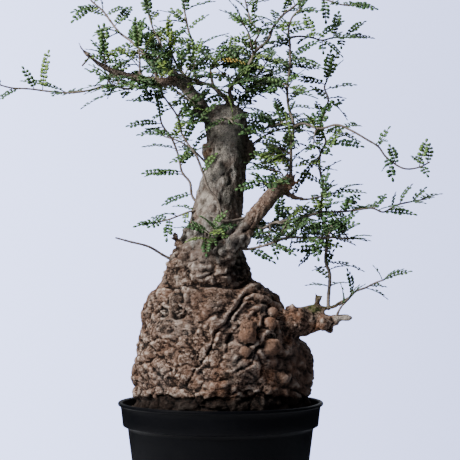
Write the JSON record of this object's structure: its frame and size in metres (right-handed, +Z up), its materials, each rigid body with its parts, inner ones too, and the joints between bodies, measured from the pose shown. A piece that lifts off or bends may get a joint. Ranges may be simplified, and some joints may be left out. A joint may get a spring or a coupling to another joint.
{
  "type": "operculicarya pachypus bonsai in a nursery pot",
  "caption": "Small bonsai with a swollen gnarled base, a tapering trunk, thick limbs and wiry twigs with small pinnate leaves, growing in a round black plastic nursery pot.",
  "frame": {"origin": "centre of the pot's flat base, on the surface that it stands on", "axes": "+Z up along the pot's axis, +X to the right and +Y to the back as seen from the front of the plant, where the thick right limb and the knob point to +X"},
  "size_m": [0.3477, 0.1782, 0.4837],
  "materials": {
    "pot_plastic": "satin",
    "potting_mix": "matte",
    "bark": "matte",
    "foliage": "satin"
  },
  "bodies": {
    "root": {"pot": "pot_plastic", "soil": "potting_mix", "wood": "bark", "stem_leftLong": "foliage", "stem_upperLeft": "foliage", "stem_antlerShoot": "foliage", "stem_antlerSpray": "foliage", "stem_crownUpright": "foliage", "stem_youngShoot": "foliage", "stem_crownRising": "foliage", "stem_crownInner": "foliage", "stem_crownShoot": "foliage", "stem_topRight": "foliage", "stem_tallRight": "foliage", "stem_tallLeftSpray": "foliage", "stem_tallRightSpray": "foliage", "stem_farRight": "foliage", "stem_knobUpright": "foliage", "stem_knobMossy": "foliage", "stem_knobBranchlet": "foliage", "stem_limbLong": "foliage", "stem_limbLow": "foliage", "stem_limbStubSpray": "foliage", "stem_trunkLeft": "foliage", "stem_trunkFront": "foliage", "stem_trunkLow": "foliage", "stem_crotchSpray": "foliage", "stem_crownFront": "foliage", "stem_limbTopFront": "foliage", "stem_limbTopBranch": "foliage", "stem_backCrown": "foliage", "stem_backLeft": "foliage", "stem_backMiddle": "foliage", "stem_backRight": "foliage", "stem_backLow": "foliage"}
  },
  "joints": []
}
